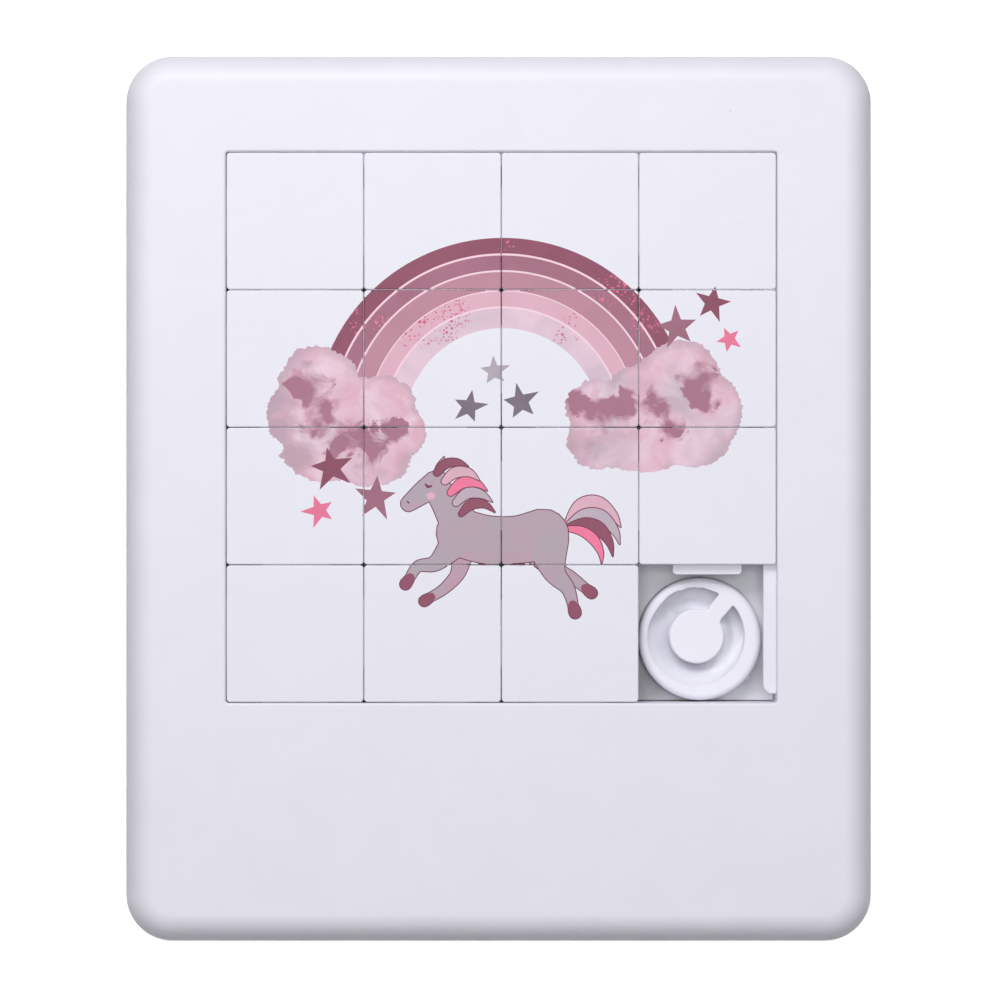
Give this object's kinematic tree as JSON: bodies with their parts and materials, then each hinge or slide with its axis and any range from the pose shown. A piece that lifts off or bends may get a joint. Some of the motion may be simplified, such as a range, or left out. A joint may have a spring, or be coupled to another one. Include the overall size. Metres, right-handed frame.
{
  "type": "sliding tile puzzle",
  "caption": "Flat framed tray with square interlocking tiles that slide past one free cell, a loose ring lying in that cell, and a pressed-in back cover.",
  "frame": {"origin": "centre of the footprint, on the back face that the puzzle lies on", "axes": "+X to the right and +Y towards the top edge as seen from the face, +Z out of the face"},
  "size_m": [0.08, 0.095, 0.009],
  "materials": {
    "shell": "satin moulded",
    "tiles": "satin moulded, printed on top",
    "ring": "satin moulded"
  },
  "bodies": {
    "tray": {"front_frame": "shell", "back_cover": "shell"},
    "ring_body": {"cell_ring": "ring"},
    "tile_01_body": {"tile_01": "tiles"},
    "tile_02_body": {"tile_02": "tiles"},
    "tile_03_body": {"tile_03": "tiles"},
    "tile_04_body": {"tile_04": "tiles"},
    "tile_05_body": {"tile_05": "tiles"},
    "tile_06_body": {"tile_06": "tiles"},
    "tile_07_body": {"tile_07": "tiles"},
    "tile_08_body": {"tile_08": "tiles"},
    "tile_09_body": {"tile_09": "tiles"},
    "tile_10_body": {"tile_10": "tiles"},
    "tile_11_body": {"tile_11": "tiles"},
    "tile_12_body": {"tile_12": "tiles"},
    "tile_13_body": {"tile_13": "tiles"},
    "tile_14_body": {"tile_14": "tiles"},
    "tile_15_body": {"tile_15": "tiles"}
  },
  "joints": [
    {"name": "ring_lift", "type": "slide", "parent": "tray", "child": "ring_body", "axis": [0, 0, 1], "range_m": [0, 0.01]},
    {"name": "tile_01_play", "type": "slide", "parent": "tray", "child": "tile_01_body", "axis": [1, 0, 0], "range_m": [-0.00004, 0.00004]},
    {"name": "tile_02_play", "type": "slide", "parent": "tray", "child": "tile_02_body", "axis": [1, 0, 0], "range_m": [-0.00004, 0.00004]},
    {"name": "tile_03_play", "type": "slide", "parent": "tray", "child": "tile_03_body", "axis": [1, 0, 0], "range_m": [-0.00004, 0.00004]},
    {"name": "tile_05_play", "type": "slide", "parent": "tray", "child": "tile_05_body", "axis": [1, 0, 0], "range_m": [-0.00004, 0.00004]},
    {"name": "tile_06_play", "type": "slide", "parent": "tray", "child": "tile_06_body", "axis": [1, 0, 0], "range_m": [-0.00004, 0.00004]},
    {"name": "tile_07_play", "type": "slide", "parent": "tray", "child": "tile_07_body", "axis": [1, 0, 0], "range_m": [-0.00004, 0.00004]},
    {"name": "tile_09_play", "type": "slide", "parent": "tray", "child": "tile_09_body", "axis": [1, 0, 0], "range_m": [-0.00004, 0.00004]},
    {"name": "tile_10_play", "type": "slide", "parent": "tray", "child": "tile_10_body", "axis": [1, 0, 0], "range_m": [-0.00004, 0.00004]},
    {"name": "tile_11_play", "type": "slide", "parent": "tray", "child": "tile_11_body", "axis": [1, 0, 0], "range_m": [-0.00004, 0.00004]},
    {"name": "tile_04_slide", "type": "slide", "parent": "tray", "child": "tile_04_body", "axis": [0, 1, 0], "range_m": [-0.0147, 0]},
    {"name": "tile_08_slide", "type": "slide", "parent": "tray", "child": "tile_08_body", "axis": [0, 1, 0], "range_m": [-0.0147, 0]},
    {"name": "tile_12_slide", "type": "slide", "parent": "tray", "child": "tile_12_body", "axis": [0, 1, 0], "range_m": [-0.0147, 0]},
    {"name": "tile_13_slide", "type": "slide", "parent": "tray", "child": "tile_13_body", "axis": [1, 0, 0], "range_m": [0, 0.0147]},
    {"name": "tile_14_slide", "type": "slide", "parent": "tray", "child": "tile_14_body", "axis": [1, 0, 0], "range_m": [0, 0.0147]},
    {"name": "tile_15_slide", "type": "slide", "parent": "tray", "child": "tile_15_body", "axis": [1, 0, 0], "range_m": [0, 0.0147]}
  ],
  "couplings": [
    {"joint": "tile_08_slide", "follows": "tile_04_slide", "ratio": 1},
    {"joint": "tile_12_slide", "follows": "tile_04_slide", "ratio": 1},
    {"joint": "tile_14_slide", "follows": "tile_13_slide", "ratio": 1},
    {"joint": "tile_15_slide", "follows": "tile_13_slide", "ratio": 1}
  ]
}
